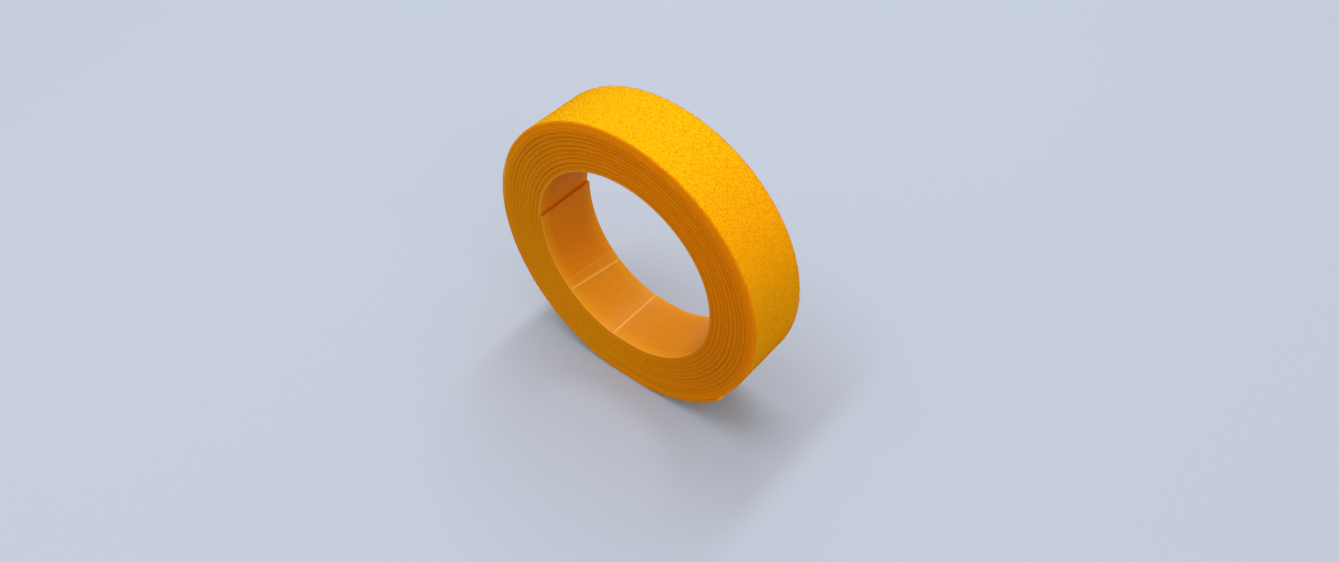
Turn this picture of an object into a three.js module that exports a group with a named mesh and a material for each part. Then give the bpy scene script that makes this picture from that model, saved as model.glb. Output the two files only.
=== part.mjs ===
// Roll of back-to-back hook and loop tape, wound on itself with no core and standing on its rim.
// Millimetres, +Z up, the roll's axis along Y. The origin lies under the middle of the roll, on the
// surface that it stands on. The tape is two plies bonded back to back: a moulded hook film that
// faces the bore and a brushed loop fabric that faces out. Each ply runs as one unbroken strip from
// the bore to the rim, apart from its two free ends, which peel and so are hinged in short lengths.

import * as THREE from 'three';

// Driving dimensions of the tape
const tapeWidth = 20;
const hookFilmThickness = 0.34;
const bondThickness = 0.04;
const loopFabricThickness = 0.44;

// Driving dimensions of the winding
const boreRadius = 29.1;
const gripGap = 0.43; // room that the gripping hooks and loops fill between two turns
const footDepth = 0.5; // how deep the rim is flattened where the roll stands
const hingeGap = 0.3; // cut between two hinged lengths of a free end
const wholeTurns = 12;
const curvedSteps = 34; // steps in a turn, besides the one flat step over the foot

// Where the tape starts and stops: the inner end lies this share of the curved part of a turn before
// the foot, and the outer end one step after it for each hinged length of the tail. The inner end's
// first hinge lies a number of whole steps before the foot.
const innerEndShare = 0.252;
const tailLengths = 4;
const innerLengths = 3;
const innerHingeStep = 5;

// Colours and surfaces
const loopFabricMaterial = new THREE.MeshStandardMaterial({
  color: new THREE.Color().setRGB(0.97, 0.68, 0.03, THREE.SRGBColorSpace),
  roughness: 0.95,
  metalness: 0,
});
const hookFilmMaterial = new THREE.MeshStandardMaterial({
  color: new THREE.Color().setRGB(0.86, 0.5, 0.08, THREE.SRGBColorSpace),
  roughness: 0.45,
  metalness: 0,
});

// Sizes that follow
const tapeThickness = hookFilmThickness + bondThickness + loopFabricThickness;
const turnPitch = tapeThickness + gripGap;
const stationsPerTurn = curvedSteps + 1;
const innerEndStation = -innerEndShare * curvedSteps;
const innerHingeStation = -innerHingeStep;
const footStation = wholeTurns * stationsPerTurn;
const tailStation = footStation + 1;
const outerEndStation = tailStation + tailLengths;

// The two plies, each with how deep its faces lie under the tape's outer face
const plies = [
  {
    name: 'loop_fabric',
    material: loopFabricMaterial,
    outerDepth: 0,
    innerDepth: loopFabricThickness,
  },
  {
    name: 'hook_film',
    material: hookFilmMaterial,
    outerDepth: loopFabricThickness + bondThickness,
    innerDepth: tapeThickness,
  },
];

// Turns wound between the foot and a station. The radius stays level over the flat step of the foot.
function turnsAt(station) {
  const turn = Math.floor(station / stationsPerTurn);
  const step = station - turn * stationsPerTurn;
  return turn + Math.max(0, step - 1) / curvedSteps;
}

// Radius of the tape's outer face at a station
function outerRadius(station) {
  return boreRadius + tapeThickness + turnPitch * (turnsAt(station) + innerEndShare);
}

// The foot is a chord across the rim, and its depth below the circle gives its half angle
const footHalfAngle = Math.acos(1 - footDepth / outerRadius(footStation));
const stepAngle = (2 * Math.PI - 2 * footHalfAngle) / curvedSteps;

// Angle of a whole station about the axis, from straight down towards +X
function angleAt(station) {
  const turn = Math.floor(station / stationsPerTurn);
  const step = station - turn * stationsPerTurn;
  return step === 0 ? -footHalfAngle : footHalfAngle + (step - 1) * stepAngle;
}

// Point of the winding in the plane of the roll, at a depth under the tape's outer face. Between two
// whole stations it lies on their chord, so that facing turns stay parallel.
function pointAt(station, depth) {
  const before = Math.floor(station);
  const corners = [before, before + 1].map((corner) => {
    const radius = outerRadius(corner) - depth;
    return new THREE.Vector2(radius * Math.sin(angleAt(corner)), -radius * Math.cos(angleAt(corner)));
  });
  return corners[0].lerp(corners[1], station - before);
}

// Stations of a length of tape: its two ends and every whole station between them
function stationsBetween(start, end) {
  const inner = [];
  for (let station = Math.floor(start) + 1; station < end; station += 1) {
    inner.push(station);
  }
  return [start, ...inner, end];
}

// One ply from start to end as a closed strip of rectangular section, about the point given
function stripGeometry(ply, start, end, about) {
  const positions = [];
  const triangles = [];
  const stations = stationsBetween(start, end);
  for (const station of stations) {
    const outer = pointAt(station, ply.outerDepth).sub(about);
    const inner = pointAt(station, ply.innerDepth).sub(about);
    positions.push(outer.x, -tapeWidth / 2, outer.y);
    positions.push(outer.x, tapeWidth / 2, outer.y);
    positions.push(inner.x, tapeWidth / 2, inner.y);
    positions.push(inner.x, -tapeWidth / 2, inner.y);
  }
  const sides = 4;
  for (let ring = 0; ring + 1 < stations.length; ring += 1) {
    for (let side = 0; side < sides; side += 1) {
      const a = ring * sides + side;
      const b = ring * sides + ((side + 1) % sides);
      triangles.push(a, b, b + sides);
      triangles.push(a, b + sides, a + sides);
    }
  }
  const last = (stations.length - 1) * sides;
  triangles.push(0, 3, 2, 0, 2, 1);
  triangles.push(last, last + 1, last + 2, last, last + 2, last + 3);
  const geometry = new THREE.BufferGeometry();
  geometry.setAttribute('position', new THREE.Float32BufferAttribute(positions, 3));
  geometry.setIndex(triangles);
  const faceted = geometry.toNonIndexed();
  faceted.computeVertexNormals();
  return faceted;
}

// Both plies of one length of tape, in a group of its own at the point given
function tapeLength(lengthName, start, end, at) {
  const length = new THREE.Group();
  for (const ply of plies) {
    const mesh = new THREE.Mesh(stripGeometry(ply, start, end, at), ply.material);
    mesh.name = `${ply.name}_${lengthName}`;
    length.add(mesh);
  }
  return length;
}

// Half a hinge gap, in stations, at the tape near a station
function halfGapStations(station) {
  return hingeGap / 2 / (outerRadius(station) * stepAngle);
}

// A chain of hinged lengths. Each length's group hangs in the group before it, at its hinge line.
function hingedEnd(endName, spans, hingeDepth) {
  const hinges = spans.map((span) => pointAt(span.hinge, hingeDepth));
  let chain = new THREE.Group();
  const base = chain;
  let from = new THREE.Vector2();
  spans.forEach((span, index) => {
    const at = hinges[index];
    const length = tapeLength(`${endName}_${index + 1}`, span.start, span.end, at);
    length.position.set(at.x - from.x, 0, at.y - from.y);
    chain.add(length);
    chain = length;
    from = at;
  });
  return base;
}

// The outer end: hinged lengths of one step each, which turn about the tape's outer face
const tailSpans = [];
for (let index = 0; index < tailLengths; index += 1) {
  const hinge = tailStation + index;
  const atEnd = index === tailLengths - 1;
  const gapStart = halfGapStations(hinge);
  const gapEnd = atEnd ? 0 : halfGapStations(hinge + 1);
  tailSpans.push({ hinge, start: hinge + gapStart, end: hinge + 1 - gapEnd });
}

// The inner end: hinged lengths that turn about the tape's inner face, towards the bore's middle
const innerSpans = [];
for (let index = 0; index < innerLengths; index += 1) {
  const hinge = innerHingeStation - index;
  const atEnd = index === innerLengths - 1;
  const start = atEnd ? innerEndStation : hinge - 1 + halfGapStations(hinge - 1);
  innerSpans.push({ hinge, start, end: hinge - halfGapStations(hinge) });
}

// The wound roll itself, between the first hinge of each free end
const rollStart = innerHingeStation + halfGapStations(innerHingeStation);
const rollEnd = tailStation - halfGapStations(tailStation);
const roll = new THREE.Group();
roll.add(tapeLength('roll', rollStart, rollEnd, new THREE.Vector2()));
roll.add(hingedEnd('tail', tailSpans, 0));
roll.add(hingedEnd('inner_end', innerSpans, tapeThickness));

// Least gap between one face and another a turn further out, measured on points along the winding
function leastGap(outerDepth, innerDepth) {
  const pointsPerStep = 4;
  const reach = 2;
  let least = Infinity;
  const count = (outerEndStation - stationsPerTurn - innerEndStation) * pointsPerStep;
  for (let index = 0; index < count; index += 1) {
    const station = innerEndStation + index / pointsPerStep;
    const point = pointAt(station, outerDepth);
    const facing = station + stationsPerTurn;
    for (let near = -reach * pointsPerStep; near < reach * pointsPerStep; near += 1) {
      const start = facing + near / pointsPerStep;
      const end = start + 1 / pointsPerStep;
      if (end > outerEndStation) {
        continue;
      }
      const from = pointAt(start, innerDepth);
      const along = pointAt(end, innerDepth).sub(from);
      const offset = point.clone().sub(from);
      const share = THREE.MathUtils.clamp(offset.dot(along) / along.lengthSq(), 0, 1);
      least = Math.min(least, offset.sub(along.multiplyScalar(share)).length());
    }
  }
  return least;
}
for (const ply of plies) {
  const gap = leastGap(ply.outerDepth, ply.innerDepth);
  console.log(`least gap of the ${ply.name} to itself, in mm: ${gap.toFixed(3)}`);
}
console.log(`least gap between facing turns, in mm: ${leastGap(0, tapeThickness).toFixed(3)}`);

// The roll stands with its foot at height zero and its middle over the origin
const extent = new THREE.Box3().setFromObject(roll);
roll.position.set(-(extent.min.x + extent.max.x) / 2, 0, -extent.min.z);

const tapeRoll = new THREE.Group();
tapeRoll.add(roll);
export default tapeRoll;
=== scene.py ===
import math

import bmesh
import bpy
import numpy as np
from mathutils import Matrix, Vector


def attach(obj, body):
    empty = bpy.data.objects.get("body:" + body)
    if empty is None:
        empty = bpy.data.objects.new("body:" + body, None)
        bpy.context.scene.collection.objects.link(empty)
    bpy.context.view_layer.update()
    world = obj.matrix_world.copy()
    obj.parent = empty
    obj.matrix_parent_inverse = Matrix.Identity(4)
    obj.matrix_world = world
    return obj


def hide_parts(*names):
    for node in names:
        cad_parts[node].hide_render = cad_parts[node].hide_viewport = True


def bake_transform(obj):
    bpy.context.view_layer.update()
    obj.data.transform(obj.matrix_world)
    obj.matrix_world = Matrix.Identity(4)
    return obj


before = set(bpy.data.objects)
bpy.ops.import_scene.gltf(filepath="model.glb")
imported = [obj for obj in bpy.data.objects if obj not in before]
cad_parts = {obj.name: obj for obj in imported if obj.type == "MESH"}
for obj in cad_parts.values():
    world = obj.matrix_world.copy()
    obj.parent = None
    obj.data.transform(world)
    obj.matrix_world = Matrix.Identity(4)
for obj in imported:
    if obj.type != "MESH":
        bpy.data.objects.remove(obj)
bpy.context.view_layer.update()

# Hook film of the wound roll. The tape's inner ply is a moulded, slightly see-through orange film.
# It is bonded to the loop fabric while flat, slit to width with it, and wound with it as one
# unbroken spiral. So every length of tape here is made flat, along X, and is then wound.
tape_width = 0.020
film_thickness = 0.00034
bond_thickness = 0.00004
fabric_thickness = 0.00044
grip_gap = 0.00043
bore_radius = 0.0291
foot_depth = 0.0005
whole_turns = 12
steps_in_turn = 34
inner_end_share = 0.252
inner_hinge_step = 5
inner_lengths = 3
tail_lengths = 4

half_width = tape_width / 2
tape_thickness = film_thickness + bond_thickness + fabric_thickness
turn_pitch = tape_thickness + grip_gap
full_turn = 2 * math.pi
inner_radius = bore_radius + tape_thickness
foot_radius = inner_radius + turn_pitch * (whole_turns + inner_end_share)
foot_half_angle = math.acos(1 - foot_depth / foot_radius)
curved_angle = full_turn - 2 * foot_half_angle
step_angle = curved_angle / steps_in_turn
last_foot_angle = whole_turns * full_turn
inner_end_angle = -foot_half_angle - inner_end_share * curved_angle
outer_end_angle = last_foot_angle + foot_half_angle + tail_lengths * step_angle
inner_hinges = [
    -foot_half_angle - (inner_hinge_step + k) * step_angle for k in range(inner_lengths)
]
tail_hinges = [last_foot_angle + foot_half_angle + k * step_angle for k in range(tail_lengths)]


def outer_radius(angle):
    """Radius of the tape's outer face: it grows one pitch a turn, and stays level over the foot."""
    turn = np.floor((angle + foot_half_angle) / full_turn)
    past_foot = np.maximum(0, angle - full_turn * turn - foot_half_angle)
    return inner_radius + turn_pitch * (turn + past_foot / curved_angle + inner_end_share)


# The roll stands on its foot, and the corners of its last turn reach as far to either side
last_curve_start = last_foot_angle - full_turn + foot_half_angle
corner_angles = last_curve_start + step_angle * np.arange(steps_in_turn)
corner_reaches = outer_radius(corner_angles) * np.sin(corner_angles)
roll_axis_x = -(corner_reaches.min() + corner_reaches.max()) / 2
roll_axis_z = foot_radius - foot_depth

# Length of tape from its inner end up to each angle of the winding, measured in mid thickness
table_overrun = 0.06
table_rows = 20000
table_angles = np.linspace(
    inner_end_angle - table_overrun, outer_end_angle + table_overrun, table_rows,
)
table_middles = (table_angles[1:] + table_angles[:-1]) / 2
table_pieces = np.diff(table_angles) * (outer_radius(table_middles) - tape_thickness / 2)
table_lengths = np.concatenate([[0], np.cumsum(table_pieces)])
table_lengths -= np.interp(inner_end_angle, table_angles, table_lengths)


def length_at(angle):
    """Length of tape from its inner end up to an angle of the winding."""
    return float(np.interp(angle, table_angles, table_lengths))


roll_start = length_at(inner_hinges[0] + step_angle / 2)
roll_end = length_at(tail_hinges[0] - step_angle / 2)
bore_turn_end = length_at(inner_end_angle + full_turn)
last_turn_start = length_at(outer_end_angle - full_turn)

# The inner end is pressed a little deeper into the loops behind it
pressed_depth = 0.0003
pressed_length = 0.009


def pressed_by(length):
    """How much farther out than its spiral the tape lies, at a length from its inner end."""
    return pressed_depth * np.clip(1 - length / pressed_length, 0, 1) ** 2


# Nothing covers the last turn, so the fabric's two long edges are rubbed back at its outer face
worn_back = 0.0003
worn_reach = 0.0012
worn_ease = 0.01


def worn_across(flat):
    """How far the rubbing moves each point across the tape: only at the last turn's edges."""
    opened = np.clip((flat[:, 0] - last_turn_start) / worn_ease, 0, 1)
    raised = np.clip(1 + flat[:, 2] / fabric_thickness, 0, 1)
    near_edge = np.clip(1 - (half_width - np.abs(flat[:, 1])) / worn_reach, 0, 1)
    return -np.sign(flat[:, 1]) * worn_back * opened * raised ** 1.5 * near_edge ** 2


# The turns lie a little in and out of the spiral, and a little to either side. Each wave has its
# height, its number of waves in a turn, and its start.
in_and_out = ((0.00003, 0.83, 1.0), (0.00002, 2.31, 0.0))
side_to_side = ((0.00005, 0.71, 0.0), (0.00004, 0.29, 2.0))
foot_reach = 1.45 * foot_half_angle


def wandering(angle, waves):
    """Adds up the waves at an angle of the winding."""
    return sum(size * np.sin(rate * angle + start) for size, rate, start in waves)


def from_foot(angle):
    """Angle from the nearest point under the roll's axis."""
    return (angle + math.pi) % full_turn - math.pi


def wind(flat):
    """Winds points of the flat tape: X runs along it, Y across, and Z up from its outer face."""
    angle = np.interp(flat[:, 0], table_lengths, table_angles)
    radius = outer_radius(angle) + flat[:, 2] + wandering(angle, in_and_out)
    radius += pressed_by(flat[:, 0])
    flattened = np.clip(1 - (from_foot(angle) / foot_reach) ** 2, 0, 1) ** 2
    radius *= 1 - (1 - math.cos(foot_half_angle)) * flattened
    return np.column_stack([
        roll_axis_x + radius * np.sin(angle),
        flat[:, 1] + wandering(angle, side_to_side) + worn_across(flat),
        roll_axis_z - radius * np.cos(angle),
    ])


ribbon_station = 0.0021
ribbon_rows = 8
row_crowding = 1.8
slit_rounding = 0.00005
same_place = 1e-7
sharp_angle = 0.9


def ribbon(start, end, low, high, half, station=ribbon_station,
           roundings=(slit_rounding, slit_rounding)):
    """A flat length of one ply, as a closed solid with its lower and upper long edges rounded."""
    bm = bmesh.new()
    stations = max(3, round((end - start) / station))
    bmesh.ops.create_grid(bm, x_segments=stations, y_segments=ribbon_rows, size=0.5)
    for vert in bm.verts:
        share = 2 * vert.co.y
        vert.co.y = math.copysign(half * (1 - (1 - abs(share)) ** row_crowding), share)
    bmesh.ops.scale(bm, vec=(end - start, 1, 1), verts=bm.verts)
    bmesh.ops.translate(bm, vec=((start + end) / 2, 0, low), verts=bm.verts)
    raised = bmesh.ops.extrude_face_region(bm, geom=bm.faces[:], use_keep_orig=True)
    top = [item for item in raised["geom"] if isinstance(item, bmesh.types.BMVert)]
    bmesh.ops.translate(bm, vec=(0, 0, high - low), verts=top)
    for level, rounding in zip((low, high), roundings):
        rims = []
        for edge in bm.edges:
            one, other = edge.verts[0].co, edge.verts[1].co
            on_rim = min(abs(one.y), abs(other.y)) > half - same_place
            if on_rim and max(abs(one.z - level), abs(other.z - level)) < same_place:
                rims.append(edge)
        bmesh.ops.bevel(
            bm, geom=rims, offset=rounding, offset_type="OFFSET", segments=2, profile=0.5,
            affect="EDGES", material=-1,
        )
    bmesh.ops.recalc_face_normals(bm, faces=bm.faces[:])
    for edge in bm.edges:
        edge.smooth = edge.calc_face_angle(0) < sharp_angle
    return bm


def mesh_of(name, bm):
    """Makes a mesh of a bmesh, which it uses up."""
    mesh = bpy.data.meshes.new(name)
    bm.to_mesh(mesh)
    bm.free()
    return mesh


def flat_points(mesh):
    """The points of a mesh, one to a row."""
    points = np.empty(len(mesh.vertices) * 3)
    mesh.vertices.foreach_get("co", points)
    return points.reshape(-1, 3)


def wound_piece(name, mesh, flat, materials):
    """Winds a flat mesh and keeps each point's place on the flat tape as a map and a height."""
    mesh.flip_normals()
    corners = np.empty(len(mesh.loops), np.int32)
    mesh.loops.foreach_get("vertex_index", corners)
    tape_map = mesh.uv_layers.new(name="Tape")
    tape_map.data.foreach_set("uv", flat[corners, :2].astype(np.float32).ravel())
    height = mesh.attributes.new("tape_height", "FLOAT", "POINT")
    height.data.foreach_set("value", flat[:, 2].astype(np.float32))
    mesh.vertices.foreach_set("co", wind(flat).astype(np.float32).ravel())
    mesh.polygons.foreach_set("use_smooth", np.ones(len(mesh.polygons), bool))
    for material in materials:
        mesh.materials.append(material)
    mesh.update()
    piece = bpy.data.objects.new(name, mesh)
    bpy.context.scene.collection.objects.link(piece)
    return piece


def new_finish(name, settings):
    """A new material, its nodes, and its shader with the inputs named in the settings set."""
    material = bpy.data.materials.new(name)
    material.use_nodes = True
    tree = material.node_tree
    shader = tree.nodes["Principled BSDF"]
    for socket, value in settings.items():
        shader.inputs[socket].default_value = value
    return material, tree, shader


def add_math(tree, operation, *values):
    """Works out a value from others. Each of them is a number or a socket."""
    node = tree.nodes.new("ShaderNodeMath")
    node.operation = operation
    for socket, value in zip(node.inputs, values):
        if isinstance(value, (int, float)):
            socket.default_value = value
        else:
            tree.links.new(value, socket)
    return node.outputs[0]


def add_range(tree, value, start, end, low=0.0, high=1.0):
    """Eases from low to high while a socket's value goes from start to end."""
    node = tree.nodes.new("ShaderNodeMapRange")
    node.interpolation_type = "SMOOTHSTEP"
    tree.links.new(value, node.inputs["Value"])
    sockets = ("From Min", "From Max", "To Min", "To Max")
    for socket, number in zip(sockets, (start, end, low, high)):
        node.inputs[socket].default_value = number
    return node.outputs[0]


def add_edge_range(tree, side, insets, low=0.0, high=1.0):
    """Eases from low to high between two insets from the tape's long edges."""
    return add_range(tree, side, half_width - insets[0], half_width - insets[1], low, high)


def add_mix(tree, factor, one, other):
    """Mixes two colours by a socket. Each colour is a triple or a socket."""
    mix = tree.nodes.new("ShaderNodeMix")
    mix.data_type = "RGBA"
    tree.links.new(factor, mix.inputs["Factor"])
    for name, colour in (("A", one), ("B", other)):
        socket = [s for s in mix.inputs if s.name == name and s.type == "RGBA"][0]
        if isinstance(colour, tuple):
            socket.default_value = (*colour, 1)
        else:
            tree.links.new(colour, socket)
    return [s for s in mix.outputs if s.type == "RGBA"][0]


def add_bump(tree, shader, height, strength, distance):
    """Makes the surface look raised where a height is greater."""
    bump = tree.nodes.new("ShaderNodeBump")
    bump.inputs["Strength"].default_value = strength
    bump.inputs["Distance"].default_value = distance
    tree.links.new(height, bump.inputs["Height"])
    tree.links.new(bump.outputs[0], shader.inputs["Normal"])


def add_tape_place(tree):
    """Each point's place on the flat tape, and how far along and across the tape that is."""
    place = tree.nodes.new("ShaderNodeUVMap")
    place.uv_map = "Tape"
    apart = tree.nodes.new("ShaderNodeSeparateXYZ")
    tree.links.new(place.outputs["UV"], apart.inputs[0])
    return place.outputs["UV"], apart.outputs["X"], apart.outputs["Y"]


def add_noise(tree, place, scale, detail, roughness):
    """Adds noise that varies in two directions only."""
    noise = tree.nodes.new("ShaderNodeTexNoise")
    noise.noise_dimensions = "2D"
    noise.inputs["Scale"].default_value = scale
    noise.inputs["Detail"].default_value = detail
    noise.inputs["Roughness"].default_value = roughness
    tree.links.new(place, noise.inputs["Vector"])
    return noise.outputs["Fac"]


coarse_scale = 0.23
coarse_share = 0.35
grain_heights = (0.4, 0.95)  # where the tone is darkest, and where it is lightest


def fibre_grain():
    """Fine streaks along the tape, as of brushed fibres or of a film stretched thin in making."""
    group = bpy.data.node_groups.new("fibre grain", "ShaderNodeTree")
    for socket in ("Length", "Width", "Contrast"):
        group.interface.new_socket(socket, in_out="INPUT", socket_type="NodeSocketFloat")
    for socket in ("Tone", "Height"):
        group.interface.new_socket(socket, in_out="OUTPUT", socket_type="NodeSocketFloat")
    given = group.nodes.new("NodeGroupInput").outputs
    put = group.nodes.new("NodeGroupOutput").inputs
    _, along, across = add_tape_place(group)
    stretched = group.nodes.new("ShaderNodeCombineXYZ")
    group.links.new(add_math(group, "DIVIDE", along, given["Length"]), stretched.inputs["X"])
    group.links.new(add_math(group, "DIVIDE", across, given["Width"]), stretched.inputs["Y"])
    fine = add_noise(group, stretched.outputs[0], 1, 3, 0.65)
    coarse = add_noise(group, stretched.outputs[0], coarse_scale, 2, 0.5)
    height = add_math(group, "MULTIPLY_ADD", coarse, coarse_share, fine)
    tone = group.nodes.new("ShaderNodeMapRange")
    tone.inputs["From Min"].default_value, tone.inputs["From Max"].default_value = grain_heights
    for socket, half in (("To Min", -0.5), ("To Max", 0.5)):
        limit = add_math(group, "MULTIPLY_ADD", given["Contrast"], half, 0.5)
        group.links.new(limit, tone.inputs[socket])
    group.links.new(height, tone.inputs["Value"])
    group.links.new(tone.outputs[0], put["Tone"])
    group.links.new(height, put["Height"])
    return group


grain_group = fibre_grain()


def add_grain(tree, length, width, contrast):
    """Adds the fibre grain, and gives its tone and its height."""
    grain = tree.nodes.new("ShaderNodeGroup")
    grain.node_tree = grain_group
    grain.inputs["Length"].default_value = length
    grain.inputs["Width"].default_value = width
    grain.inputs["Contrast"].default_value = contrast
    return grain.outputs["Tone"], grain.outputs["Height"]


def add_reach(tree, towards):
    """How far each point of the roll lies towards a direction."""
    place = tree.nodes.new("ShaderNodeTexCoord")
    reach = tree.nodes.new("ShaderNodeVectorMath")
    reach.operation = "DOT_PRODUCT"
    reach.inputs[1].default_value = towards
    tree.links.new(place.outputs["Object"], reach.inputs[0])
    return reach.outputs["Value"]


# The slit edges. On the outermost turns they are painted brighter, a painted glow of light in the
# cut fibres, which is weaker low on the roll. Low on the inner end's side the edges are painted a
# little yellower, a painted tint of the light there.
film_slit = (0.69, 0.18, 0.0005)
slit_glow_colour = (1.0, 0.285, 0.0005)
slit_glow_length = 0.6
slit_glow_towards = (0.5, 0, 1)
slit_glow_reaches = (-0.005, 0.055)
slit_glow_low_share = 0.05
slit_light_tint = (0.8, 0.36, 0.002)
light_tint_towards = (-0.75, 0, -0.65)
light_tint_reaches = (-0.06, 0.01)
light_tint_share = 0.42


def add_slit_glow(tree, along):
    """Share of the painted glow on a slit edge: on the outermost turns, weaker low on the roll."""
    outermost = add_range(tree, along, last_turn_start - slit_glow_length, last_turn_start)
    reach = add_reach(tree, slit_glow_towards)
    return add_math(tree, "MULTIPLY", outermost,
                    add_range(tree, reach, *slit_glow_reaches, slit_glow_low_share, 1))


def add_light_tint(tree, colour):
    """Tints a slit edge yellower low on the inner end's side: a painted tint of the light there."""
    reach = add_reach(tree, light_tint_towards)
    light_tint = add_range(tree, reach, *light_tint_reaches, 0, light_tint_share)
    return add_mix(tree, light_tint, colour, slit_light_tint)


# The creases are where the film was once folded. Before the first crease listed, and again from
# just before the end of the turn that faces the bore, the film is painted deeper in colour, a
# painted shade where it is bent away from the light, and it has less coat, so it is duller.
film_pale_and_highlight = (0.95, 0.48, 0.08)
crease_places = (  # degrees, skew, width, strength
    (-42.0, 0.0023, 0.00034, 0.75), (-9.0, 0.0, 0.00034, 0.85), (-48.0, 0.0016, 0.0003, 0.2),
)
crease_width_shares = (0.3, 1.4)  # where the pale line starts to fade, and where it ends
crease_height = 0.00007
crease_half_share = 1.5
crease_cut_shares = (-1, -0.5, 0, 0.5, 1)
film_shaded = (0.82, 0.21, 0.0005)
film_shade_share = 0.5
film_shade_fade = 0.005
film_shade_again = (0.03, 0.01)  # before the end of the bore's turn


def add_creases(tree, along, across):
    """Share of the pale lines along the creases."""
    core, skirt = crease_width_shares
    creased = 0.0
    for degrees, skew, width, strength in crease_places:
        middle = add_math(tree, "MULTIPLY_ADD", across, skew / tape_width,
                          length_at(math.radians(degrees)))
        off = add_math(tree, "ABSOLUTE", add_math(tree, "SUBTRACT", along, middle))
        line = add_range(tree, off, core * width, skirt * width, strength, 0)
        creased = add_math(tree, "MAXIMUM", creased, line)
    return creased


def add_film_shade(tree, along):
    """How much of the film's painted shade shows, which is also how much of the gloss is lost."""
    first_crease = length_at(math.radians(crease_places[0][0]))
    before, after = (bore_turn_end - back for back in film_shade_again)
    return add_math(
        tree, "MAXIMUM",
        add_range(tree, along, first_crease - film_shade_fade, first_crease, film_shade_share, 0),
        add_range(tree, along, before, after, 0, film_shade_share),
    )


film_orange = (0.82, 0.305, 0.002)
film_deep = (0.77, 0.255, 0.001)
film_glow = (0.96, 0.41, 0.006)
film_cut = (0.68, 0.155, 0.002)
film_gloss = 0.03
film_coat = 0.3
film_roughness = (0.38, 0.5)
streak_grain = (0.02, 0.0016, 0.7)  # length, width, contrast
streak_bump = (0.06, 0.00005)  # strength, distance
scuffs = ((-25.4, 0.0028, 0.00045), (-26.6, 0.0018, 0.0003))  # degrees, across, size
scuff_size_shares = (0.4, 1.5)  # where the mark starts to fade, and where it ends
scuff_share = 0.55
cut_face = (0.00002, 0.00018)  # from the tape's inner end
slit_insets = (0.00025, 0.00008)
coat_insets = (0.00012, 0.00002)
glow_insets = (0.004, 0.0001)
glow_share = 0.42
bore_turn_fade = 0.002
# Painted highlights: a pale line on the slit edges of the bore's turn, and a glint on the last
# turn's film edge at the left.
bore_edge_light = 0.4
glint_start = length_at(last_foot_angle - math.radians(112))
glint_end = length_at(last_foot_angle - math.radians(94))
glint_fade = 0.004
glint_core = 0.002


def film_finish():
    """Satin orange film, streaked from drawing, with paler creases, painted light and a matt slit
    edge.
    """
    material, tree, shader = new_finish("hook film", {
        "Specular IOR Level": film_gloss,
        "Coat Roughness": 0.4,
    })
    tape, along, across = add_tape_place(tree)
    side = add_math(tree, "ABSOLUTE", across)
    slit = add_edge_range(tree, side, slit_insets)
    in_bore = add_range(tree, along, bore_turn_end, bore_turn_end + bore_turn_fade, 1, 0)
    # Painted shade on the film's bent stretches, which also lose their coat
    film_shade = add_film_shade(tree, along)
    tone, height = add_grain(tree, *streak_grain)
    colour = add_mix(tree, tone, film_deep, film_orange)
    colour = add_mix(tree, film_shade, colour, film_shaded)
    colour = add_mix(tree, add_creases(tree, along, across), colour, film_pale_and_highlight)
    core, skirt = scuff_size_shares
    for degrees, offset, size in scuffs:
        away = tree.nodes.new("ShaderNodeVectorMath")
        away.operation = "DISTANCE"
        away.inputs[1].default_value = (length_at(math.radians(degrees)), offset, 0)
        tree.links.new(tape, away.inputs[0])
        spot = add_range(tree, away.outputs["Value"], core * size, skirt * size, scuff_share, 0)
        colour = add_mix(tree, spot, colour, film_cut)
    # Painted glow: the bore's turn is painted brighter near its long edges, as of light through the
    # film
    glow = add_math(tree, "MULTIPLY", in_bore,
                    add_edge_range(tree, side, glow_insets, 0, glow_share))
    colour = add_mix(tree, glow, colour, film_glow)
    # Painted light on the slit edges: a glow on the outermost turns, and a yellower tint low down.
    glowing_slit = add_mix(tree, add_slit_glow(tree, along), film_slit, slit_glow_colour)
    colour = add_mix(tree, slit, colour, add_light_tint(tree, glowing_slit))
    glint = add_math(
        tree, "MULTIPLY",
        add_range(tree, along, glint_start - glint_fade, glint_start + glint_core),
        add_range(tree, along, glint_end - glint_core, glint_end + glint_fade, 1, 0),
    )
    # Painted highlight along the slit edges of the bore's turn, and a painted glint on the last
    # turn
    lit_bore = add_math(tree, "MULTIPLY", in_bore, bore_edge_light)
    lit_edge = add_math(tree, "MULTIPLY", slit, add_math(tree, "MAXIMUM", lit_bore, glint))
    colour = add_mix(tree, lit_edge, colour, film_pale_and_highlight)
    colour = add_mix(tree, add_range(tree, along, *cut_face, 1, 0), colour, film_cut)
    tree.links.new(colour, shader.inputs["Base Color"])
    tree.links.new(add_range(tree, tone, 0, 1, *film_roughness), shader.inputs["Roughness"])
    coated = add_edge_range(tree, side, coat_insets, film_coat, 0)
    glossy = add_math(tree, "MULTIPLY", coated, add_math(tree, "SUBTRACT", 1, film_shade))
    tree.links.new(glossy, shader.inputs["Coat Weight"])
    add_bump(tree, shader, height, *streak_bump)
    return material


film_material = film_finish()

film_low = -tape_thickness
film_high = -tape_thickness + film_thickness
on_face = 1e-5


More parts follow.
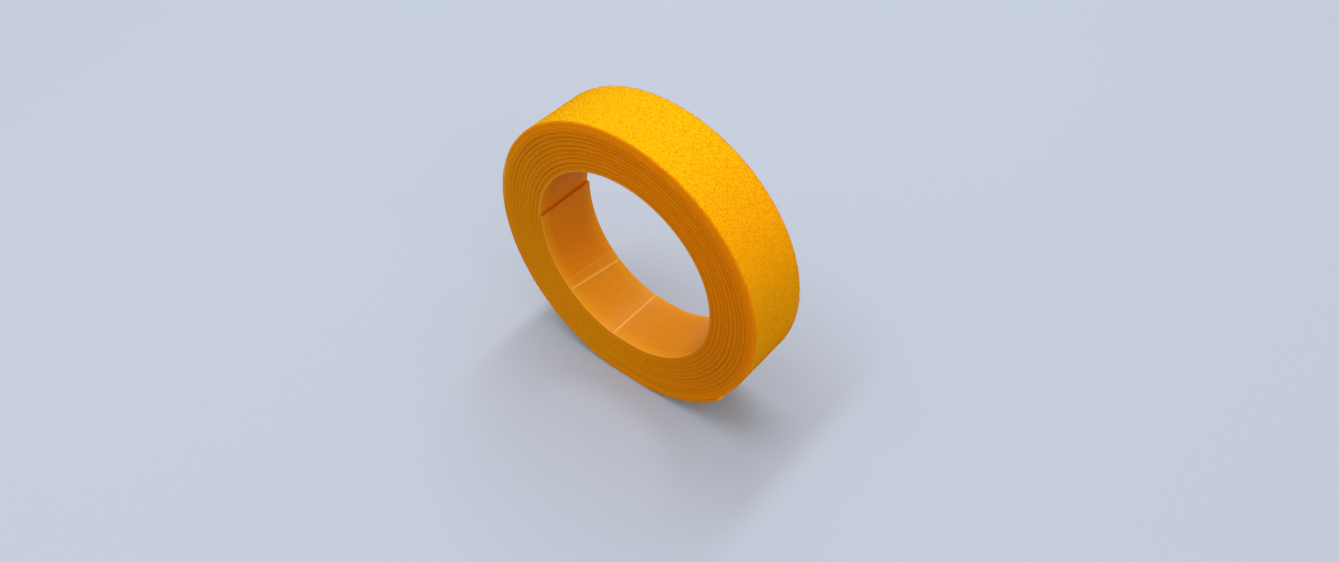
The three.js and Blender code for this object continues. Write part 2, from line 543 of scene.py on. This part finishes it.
def crease(bm, degrees, skew, width, ridge):
    """Raises a low ridge across the film's inner face."""
    middle = length_at(math.radians(degrees))
    half = crease_half_share * width
    slope = skew / tape_width
    for share in crease_cut_shares:
        bmesh.ops.bisect_plane(
            bm, geom=bm.verts[:] + bm.edges[:] + bm.faces[:],
            plane_co=(middle + share * half, 0, 0), plane_no=Vector((1, -slope, 0)),
        )
    for vert in bm.verts:
        off = abs(vert.co.x - middle - slope * vert.co.y) / half
        if off < 1 and vert.co.z < film_low + on_face:
            vert.co.z -= ridge * (1 - off * off)


bm = ribbon(roll_start, roll_end, film_low, film_high, half_width)
for degrees, skew, width, strength in crease_places:
    crease(bm, degrees, skew, width, crease_height * strength)
mesh = mesh_of("hook_film_winding", bm)
film_winding = wound_piece("hook_film_winding", mesh, flat_points(mesh), [film_material])
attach(film_winding, "roll")
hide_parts("hook_film_roll")

# The hooks on the wall of the bore. They are moulded in one with the film, in straight rows, and
# are so small that the wall looks no more than satin. Each is a stem with a wider flat head.
hook_height = 0.00012
hook_stem = 0.00008
hook_head = 0.00014
hook_pitch = 0.00065
hook_sink = 0.00003
hook_margin = 0.0004
mm = 0.001  # The smallest shapes are made in millimetres: in metres their normals come out wrong


def repeated(bm, columns, rows, along, across):
    """Repeats what a bmesh holds in straight rows."""
    for count, step in ((columns, (along, 0, 0)), (rows, (0, across, 0))):
        if count > 1:
            bmesh.ops.spin(
                bm, geom=bm.verts[:] + bm.edges[:] + bm.faces[:], cent=(0, 0, 0),
                axis=(0, 0, 1), dvec=step, angle=0, steps=count - 1, use_duplicate=True,
            )


def hook_rows(start, end):
    """Rows of hooks over a length of the film's inner face."""
    columns = max(1, round((end - start) / hook_pitch))
    rows = round((tape_width - 2 * hook_margin) / hook_pitch)
    along = (end - start) / columns
    across = (tape_width - 2 * hook_margin) / rows
    bm = bmesh.new()
    bmesh.ops.create_circle(bm, cap_ends=True, segments=4, radius=hook_stem / mm)
    rise = -(hook_height + hook_sink) / 2 / mm
    tip = bm.faces[:]
    for spread in (1, hook_head / hook_stem):
        raised = bmesh.ops.extrude_face_region(bm, geom=tip)["geom"]
        if spread != 1:
            bmesh.ops.delete(bm, geom=tip, context="FACES_ONLY")
        tip = [item for item in raised if isinstance(item, bmesh.types.BMFace)]
        tip_verts = [item for item in raised if isinstance(item, bmesh.types.BMVert)]
        bmesh.ops.translate(bm, vec=(0, 0, rise), verts=tip_verts)
        bmesh.ops.scale(bm, vec=(spread, spread, 1), verts=tip_verts)
    bmesh.ops.recalc_face_normals(bm, faces=bm.faces[:])
    bmesh.ops.scale(bm, vec=(mm, mm, mm), verts=bm.verts[:])
    corner = (start + along / 2, -half_width + hook_margin + across / 2, film_low + hook_sink)
    bmesh.ops.translate(bm, vec=corner, verts=bm.verts[:])
    repeated(bm, columns, rows, along, across)
    mesh = mesh_of("hooks", bm)
    return mesh, flat_points(mesh)


mesh, flat = hook_rows(roll_start, length_at(inner_hinges[0] + step_angle / 2 + full_turn))
bore_hooks = wound_piece("bore_hooks", mesh, flat, [film_material])
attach(bore_hooks, "roll")

# Loop fabric of the wound roll. The outer ply is a brushed nylon knit, dyed yellow. Its cut edges
# show orange on the side face, and its pile fills most of the gap to the next turn.
# Painted light: the loops are paler and yellower high on the roll, more orange in shade on its
# right.
nap_lit = (0.9, 0.51, 0.002)
nap_lit_deep = (0.885, 0.44, 0.001)
nap_shaded = (0.985, 0.445, 0.002)
nap_shaded_deep = (0.965, 0.385, 0.001)
nap_shade_towards = (1, 0, -0.3)
nap_shade_reaches = (-0.02, 0.02)
edge_orange = (0.88, 0.262, 0.001)
edge_deep = (0.79, 0.203, 0.0005)
edge_fuzz = (0.93, 0.42, 0.006)
fuzz_share = 0.65
near_to_far = (-0.002, 0.002)  # across the tape
fabric_gloss = 0.03
fabric_bump = (0.4, 0.0001)  # strength, distance


def nap_colour(tree, tone):
    """The loops' yellow: painted shade at the roots, painted lit on top and shaded at the right."""
    nap_shade = add_range(tree, add_reach(tree, nap_shade_towards), *nap_shade_reaches)
    nap_lit_colour = add_mix(tree, tone, nap_lit_deep, nap_lit)
    return add_mix(tree, nap_shade, nap_lit_colour, add_mix(tree, tone, nap_shaded_deep, nap_shaded))


def edge_colour(tree, along, across, tone):
    """The slit edge's orange with a painted glow and light tint, and yellow fuzz over the last."""
    slit_glow = add_slit_glow(tree, along)
    edge = add_mix(tree, tone, edge_deep, edge_orange)
    edge = add_light_tint(tree, add_mix(tree, slit_glow, edge, slit_glow_colour))
    on_last = add_range(tree, along, last_turn_start, last_turn_start + worn_ease, 0, fuzz_share)
    far_edge = add_range(tree, across, *near_to_far)
    unglowing = add_math(tree, "MAXIMUM", far_edge, add_math(tree, "SUBTRACT", 1, slit_glow))
    return add_mix(tree, add_math(tree, "MULTIPLY", on_last, unglowing), edge, edge_fuzz)


nap_grain = (0.0009, 0.0006, 0.9)  # length, width, contrast
nap_edge_insets = (0.0002, 0.00005)
nap_edge_share = 0.85
nap_edge_heights = (-0.00022, 0.00002)
root_shade_heights = (-0.00005, 0.0002)
root_shade_share = 0.55


def nap_finish():
    """Matt brushed yellow loops, with painted shade towards their roots, deeper in colour at the
    slit edges.
    """
    material, tree, shader = new_finish("brushed loops", {
        "Roughness": 0.9,
        "Sheen Weight": 0.3,
        "Sheen Roughness": 0.4,
        "Sheen Tint": (1, 0.68, 0.06, 1),
        "Specular IOR Level": fabric_gloss,
    })
    _, along, across = add_tape_place(tree)
    height = tree.nodes.new("ShaderNodeAttribute")
    height.attribute_name = "tape_height"
    grain_tone, grain_height = add_grain(tree, *nap_grain)
    # Painted shade: the loops are painted deeper in colour towards their roots
    raised = add_range(tree, height.outputs["Fac"], *root_shade_heights)
    tone = add_math(tree, "MULTIPLY_ADD", raised, root_shade_share,
                    add_math(tree, "MULTIPLY", grain_tone, 1 - root_shade_share))
    side = add_math(tree, "ABSOLUTE", across)
    at_edge = add_edge_range(tree, side, nap_edge_insets, 0, nap_edge_share)
    below = add_range(tree, height.outputs["Fac"], *nap_edge_heights, 1, 0)
    edge = edge_colour(tree, along, across, grain_tone)
    colour = add_mix(tree, add_math(tree, "MULTIPLY", at_edge, below), nap_colour(tree, tone), edge)
    tree.links.new(colour, shader.inputs["Base Color"])
    add_bump(tree, shader, grain_height, *fabric_bump)
    return material


knit_grain = (0.0007, 0.00025, 0.9)  # length, width, contrast
knit_edge_insets = (0.0005, 0.0001)
far_edge_shift = 0.00015  # how much farther out the orange starts at the far edge


def fabric_finish():
    """The knit under the loops: yellow where it faces out, orange on its cut edges."""
    material, tree, shader = new_finish("loop fabric", {
        "Roughness": 0.88,
        "Specular IOR Level": fabric_gloss,
    })
    _, along, across = add_tape_place(tree)
    tone, height = add_grain(tree, *knit_grain)
    near_side = add_math(tree, "MULTIPLY", across, -1)
    far_side = add_math(tree, "SUBTRACT", across, far_edge_shift)
    side = add_math(tree, "MAXIMUM", near_side, far_side)
    slit = add_edge_range(tree, side, knit_edge_insets)
    colour = add_mix(tree, slit, nap_colour(tree, tone), edge_colour(tree, along, across, tone))
    colour = add_mix(tree, add_range(tree, along, *cut_face, 1, 0), colour, film_cut)
    tree.links.new(colour, shader.inputs["Base Color"])
    add_bump(tree, shader, height, *fabric_bump)
    return material


nap_material = nap_finish()
fabric_material = fabric_finish()

knit_inset = 0.00003
knit_low = -fabric_thickness - 0.6 * bond_thickness
knit_roundings = (0.00006, 0.0002)
pile_height = 0.00036
pile_sink = 0.00002
pile_inset = 0.00007
pile_most = 0.9 * grip_gap
pile_eased_share = 0.7
pile_fade = 0.004
pile_end = last_turn_start + pile_fade
ease_start = length_at(tail_hinges[0] - full_turn - step_angle / 2)
above_knit = 1e-6


def pile_share(length):
    """The gripped pile's height: lower under the tail and at both ends of the tape."""
    eased = np.clip((length - ease_start) / pile_fade, 0, 1)
    ended = np.clip((length - pile_end + pile_fade) / pile_fade, 0, 1)
    crushed = np.clip((pile_most - pressed_by(length)) / pile_height, 0, 1)
    return np.minimum(crushed, (1 - (1 - pile_eased_share) * eased) * (1 - ended ** 2))


def add_bmesh(bm, other):
    """Adds a second solid to a bmesh."""
    together = mesh_of("joined", other)
    bm.from_mesh(together)
    bpy.data.meshes.remove(together)


def fabric_ply(name, start, end, piled):
    """The knit, and on it the pile of the turns that another turn covers."""
    bm = ribbon(start, end, knit_low, 0, half_width - knit_inset, roundings=knit_roundings)
    if piled > start:
        add_bmesh(bm, ribbon(start, piled, -pile_sink, pile_height, half_width - pile_inset))
    mesh = mesh_of(name, bm)
    flat = flat_points(mesh)
    raised = flat[:, 2] > above_knit
    flat[raised, 2] *= pile_share(flat[raised, 0])
    return mesh, flat


mesh, flat = fabric_ply("loop_fabric_winding", roll_start, roll_end, pile_end)
fabric_winding = wound_piece("loop_fabric_winding", mesh, flat, [fabric_material])
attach(fabric_winding, "roll")
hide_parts("loop_fabric_roll")

# The raised loops on the rim. Fine nylon loops are knitted into the fabric's outer face and
# brushed up, so they lean every way. The foot presses them flat, so there are none under it.
nap_strand = 0.00004
nap_arch = 0.00023
nap_pitch = 0.00048
nap_sink = 0.00003
nap_rise_share = 0.75
nap_size_shares = (0.75, 1.3)
nap_lean = 1.1
nap_shift_share = 0.45
nap_pieces = 4
cell_room = 3  # an arch's cell in its grid, in arch radii, so that no two cells touch
foot_edge = foot_half_angle + math.radians(2.8)
draws = np.random.default_rng(7)


def arch_grid(columns, rows, strand, arch):
    """A grid of upright arches of strand, one in the middle of each cell."""
    room = cell_room * arch
    bm = bmesh.new()
    ring = bmesh.ops.create_circle(bm, segments=3, radius=strand / mm, cap_ends=False)
    bmesh.ops.translate(bm, vec=(arch / mm, 0, 0), verts=ring["verts"])
    bmesh.ops.spin(
        bm, geom=bm.verts[:] + bm.edges[:], cent=(0, 0, 0), axis=(0, 1, 0), dvec=(0, 0, 0),
        angle=-math.pi, steps=4, use_merge=False,
    )
    bmesh.ops.holes_fill(bm, edges=bm.edges[:], sides=3)
    bmesh.ops.recalc_face_normals(bm, faces=bm.faces[:])
    bmesh.ops.scale(bm, vec=(mm, mm, mm), verts=bm.verts[:])
    bmesh.ops.translate(bm, vec=(room / 2, room / 2, 0), verts=bm.verts[:])
    repeated(bm, columns, rows, room, room)
    mesh = mesh_of("arches", bm)
    flat = flat_points(mesh)
    cell = np.floor(flat[:, :2] / room).astype(int)
    local = np.column_stack([flat[:, :2] - (cell + 0.5) * room, flat[:, 2]])
    return mesh, cell, cell[:, 0] * rows + cell[:, 1], local


def tousled(local, index, count, sizes, most_lean):
    """Turns, sizes and leans each arch by itself. Gives its points' two offsets and their rise."""
    yaw = draws.uniform(0, full_turn, count)[index]
    size = draws.uniform(*sizes, count)[index]
    lean = draws.uniform(-most_lean, most_lean, count)[index]
    rise = local[:, 2] * size
    along = local[:, 0] * size
    beside = local[:, 1] * size + rise * lean
    one = along * np.cos(yaw) - beside * np.sin(yaw)
    other = along * np.sin(yaw) + beside * np.cos(yaw)
    return one, other, rise / np.sqrt(1 + lean ** 2)


def nap_length(start, end):
    """Arches that stand up from a length of the tape's outer face."""
    columns = max(1, round((end - start) / nap_pitch))
    rows = round(tape_width / nap_pitch)
    count = columns * rows
    mesh, cell, index, local = arch_grid(columns, rows, nap_strand, nap_arch)
    along, beside, rise = tousled(local, index, count, nap_size_shares, nap_lean)
    shift = draws.uniform(-nap_shift_share, nap_shift_share, (count, 2))[index] * nap_pitch
    centre = (cell + 0.5) * nap_pitch + shift
    ground = pile_height * pile_share(start + centre[:, 0])
    placed = np.column_stack([
        start + centre[:, 0] + along,
        centre[:, 1] - half_width + beside,
        rise * nap_rise_share - nap_sink + ground,
    ])
    return mesh, placed


nap_start = length_at(tail_hinges[0] - full_turn)
nap_end = length_at(last_foot_angle - foot_edge)
for number in range(nap_pieces):
    start = nap_start + (nap_end - nap_start) * number / nap_pieces
    end = nap_start + (nap_end - nap_start) * (number + 1) / nap_pieces
    mesh, flat = nap_length(start, end)
    nap = wound_piece(f"rim_loops_{number + 1}", mesh, flat, [nap_material])
    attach(nap, "roll")

# The fibres at the two slit edges. Slitting cuts the outermost loops, and their ends bloom out of
# the fabric at both side faces, so the turns there look soft and run into one another.
fringe_strand = 0.000035
fringe_arch = 0.00018
fringe_pitch = 0.00048
fringe_sink = 0.0001
fringe_size_shares = (0.6, 1.25)
fringe_lean = 1.2
fringe_low = -0.00042
fringe_high = 0.0003
open_high = 0.00006
foot_high = -0.0003
shoulder_pitch = 0.00012


def fringe_length(start, end, side, spacing):
    """Arches that stand out sideways from the fabric's slit edge."""
    rows = max(1, round(math.sqrt((end - start) / spacing)))
    count = rows * rows
    pitch = (end - start) / count
    mesh, cell, index, local = arch_grid(rows, rows, fringe_strand, fringe_arch)
    along, upward, out = tousled(local, index, count, fringe_size_shares, fringe_lean)
    middle = start + (np.arange(count) + 0.5) * pitch
    on_foot = np.abs(from_foot(np.interp(middle, table_lengths, table_angles))) < foot_edge
    highest = np.where(on_foot, foot_high, open_high)
    highest = np.where(middle > pile_end, highest, fringe_high)
    height = (fringe_low + (highest - fringe_low) * draws.uniform(0, 1, count))[index]
    shift = draws.uniform(-0.5, 0.5, count)[index] * pitch
    placed = np.column_stack([
        middle[index] + shift + along,
        side * (half_width - fringe_sink + out),
        height + upward,
    ])
    if side > 0:
        # Standing out to the far side turns the arches inside out, so they are turned back
        turned = bmesh.new()
        turned.from_mesh(mesh)
        bmesh.ops.reverse_faces(turned, faces=turned.faces[:])
        turned.to_mesh(mesh)
        turned.free()
    return mesh, placed


for side, name in ((-1, "near"), (1, "far")):
    for piece_name, start, spacing in (
        (f"edge_fibres_{name}", roll_start, fringe_pitch),
        (f"shoulder_fibres_{name}", pile_end, shoulder_pitch),
    ):
        mesh, flat = fringe_length(start, roll_end, side, spacing)
        fringe = wound_piece(piece_name, mesh, flat, [nap_material])
        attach(fringe, "roll")

# The outer end. The last 32 mm of tape lie on the roll by the grip of their hooks alone, and peel
# off it. Each length lies across one hinge, and its seams lie half way between hinges.
bend_half_angle = 0.07
flap_station = 0.0006


def flap_name(ply, end_name, number):
    """Name of one ply of one length of a free end."""
    return f"{ply}_{end_name}_flap_{number}"


def flap_piece(ply, end_name, number, hinge, layers, materials):
    """Joins the layers of one length of a free end and winds it. Each layer has its own material."""
    bm = bmesh.new()
    for slot, (layer, _) in enumerate(layers):
        layer.polygons.foreach_set("material_index", np.full(len(layer.polygons), slot, np.int32))
        bm.from_mesh(layer)
        bpy.data.meshes.remove(layer)
    name = flap_name(ply, end_name, number)
    piece = wound_piece(name, mesh_of(name, bm), np.vstack([flat for _, flat in layers]), materials)
    bend = bend_half_angle if end_name == "tail" else -bend_half_angle
    bends = [
        wind(np.array([[length_at(angle), 0, 0]]))[0] for angle in (hinge - bend, hinge + bend)
    ]
    node = f"{ply}_{end_name}_{number}"
    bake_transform(piece)
    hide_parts(node)


def flaps(end_name, number, hinge, start, end):
    """Both plies of one length of a free end. Only the inner end lies under another turn."""
    covered = end_name == "inner_end"
    film = mesh_of(
        flap_name("hook_film", end_name, number),
        ribbon(start, end, film_low, film_high, half_width, station=flap_station),
    )
    layers = [(film, flat_points(film)), hook_rows(start, end)]
    flap_piece("hook_film", end_name, number, hinge, layers, [film_material, film_material])

    name = flap_name("loop_fabric", end_name, number)
    layers = [fabric_ply(name, start, end, end if covered else start)]
    nap_from = start if covered else max(start, length_at(last_foot_angle + foot_edge))
    if nap_from < end:
        layers.append(nap_length(nap_from, end))
    for side in (-1, 1):
        layers.append(fringe_length(start, end, side, fringe_pitch if covered else shoulder_pitch))
    materials = [fabric_material] + [nap_material] * (len(layers) - 1)
    flap_piece("loop_fabric", end_name, number, hinge, layers, materials)


for index, hinge in enumerate(tail_hinges):
    last = index == tail_lengths - 1
    start = length_at(hinge - step_angle / 2)
    end = length_at(outer_end_angle if last else hinge + step_angle / 2)
    flaps("tail", index + 1, hinge, start, end)

# The inner end. It is the same two plies, which stop in the bore with a square cut. They are held
# to the turn behind them by their hooks alone, and peel off it towards the middle of the bore.
for index, hinge in enumerate(inner_hinges):
    last = index == inner_lengths - 1
    start = 0.0 if last else length_at(hinge - step_angle / 2)
    end = length_at(hinge + step_angle / 2)
    flaps("inner_end", index + 1, hinge, start, end)

# The stage. A plain floor runs out into an even backdrop. The camera sees it paler than it is for
# the light that bounces off it. One long, narrow lamp hangs over the roll, a large soft one stands
# to the right, and the sky is even.
floor_pale = (0.46, 0.5, 0.58)
floor_grey = (0.21, 0.24, 0.3)
floor_far = (0.76, 0.825, 0.957)
floor_half = 1.2
floor_fade = (0.3, 2.2)
backdrop = (0.571, 0.624, 0.73)
sky_colour = (0.97, 0.985, 1)
sky_strength = 0.7
lamp_aim = Vector((0, 0, 0.04))
strip_place = Vector((-0.2, 0.12, 1.0))
strip_size = (0.13, 1.4)
strip_power = 6.7
fill_place = Vector((2.3, -0.76, 1.06))
fill_size = (2.4, 2.1)
fill_power = 15.3


def add_seen(tree):
    """One for rays from the camera, straight or by way of gloss or glass, and zero for the rest."""
    path = tree.nodes.new("ShaderNodeLightPath")
    bounced = add_math(tree, "MAXIMUM", path.outputs["Is Glossy Ray"],
                       path.outputs["Is Transmission Ray"])
    return add_math(tree, "MAXIMUM", path.outputs["Is Camera Ray"], bounced)


bm = bmesh.new()
bmesh.ops.create_grid(bm, x_segments=1, y_segments=1, size=floor_half)
floor_mesh = mesh_of("floor", bm)
floor = bpy.data.objects.new("floor", floor_mesh)
bpy.context.scene.collection.objects.link(floor)
material, tree, shader = new_finish("floor", {"Roughness": 0.9, "Specular IOR Level": 0.1})
place = tree.nodes.new("ShaderNodeTexCoord")
away = tree.nodes.new("ShaderNodeVectorMath")
away.operation = "LENGTH"
tree.links.new(place.outputs["Object"], away.inputs[0])
pale = add_mix(tree, add_range(tree, away.outputs["Value"], *floor_fade), floor_pale, floor_far)
tree.links.new(add_mix(tree, add_seen(tree), floor_grey, pale), shader.inputs["Base Color"])
floor_mesh.materials.append(material)

world = bpy.data.worlds.new("sky")
world.use_nodes = True
tree = world.node_tree
sky = tree.nodes["Background"]
sky.inputs["Color"].default_value = (*sky_colour, 1)
sky.inputs["Strength"].default_value = sky_strength
behind = tree.nodes.new("ShaderNodeBackground")
behind.inputs["Color"].default_value = (*backdrop, 1)
either = tree.nodes.new("ShaderNodeMixShader")
tree.links.new(add_seen(tree), either.inputs[0])
tree.links.new(sky.outputs[0], either.inputs[1])
tree.links.new(behind.outputs[0], either.inputs[2])
tree.links.new(either.outputs[0], tree.nodes["World Output"].inputs["Surface"])
bpy.context.scene.world = world


def area_lamp(name, place, size, power):
    """A flat, rectangular lamp, which faces straight down until it is turned."""
    lamp = bpy.data.lights.new(name, "AREA")
    lamp.shape = "RECTANGLE"
    lamp.size, lamp.size_y = size
    lamp.energy = power
    lamp_object = bpy.data.objects.new(name, lamp)
    lamp_object.location = place
    bpy.context.scene.collection.objects.link(lamp_object)
    return lamp_object


def facing(sight):
    """Turns a lamp or the camera to look along a direction, with its top up."""
    return sight.to_track_quat("-Z", "Y").to_euler()


strip = area_lamp("strip lamp", strip_place, strip_size, strip_power)
strip.rotation_euler = (0, math.atan2(strip_place.x, strip_place.z - lamp_aim.z), 0)
fill = area_lamp("fill lamp", fill_place, fill_size, fill_power)
fill.rotation_euler = facing(lamp_aim - fill_place)

# The camera. It stands where the photograph was taken from, as a pinhole camera fitted to both
# rims and both edges of the bore gives it.
camera_place = (0.14045, -0.16357, 0.24883)
camera_azimuth = math.radians(38.804)
camera_elevation = math.radians(45.153)
camera_sensor = 36
camera_lens = 28.95

camera = bpy.data.cameras.new("camera")
camera.sensor_width = camera_sensor
camera.lens = camera_lens
camera_object = bpy.data.objects.new("camera", camera)
camera_object.location = camera_place
camera_object.rotation_euler = facing(Vector((
    -math.sin(camera_azimuth) * math.cos(camera_elevation),
    math.cos(camera_azimuth) * math.cos(camera_elevation),
    -math.sin(camera_elevation),
)))
bpy.context.scene.collection.objects.link(camera_object)
bpy.context.scene.camera = camera_object
bpy.context.scene.view_settings.view_transform = "Standard"
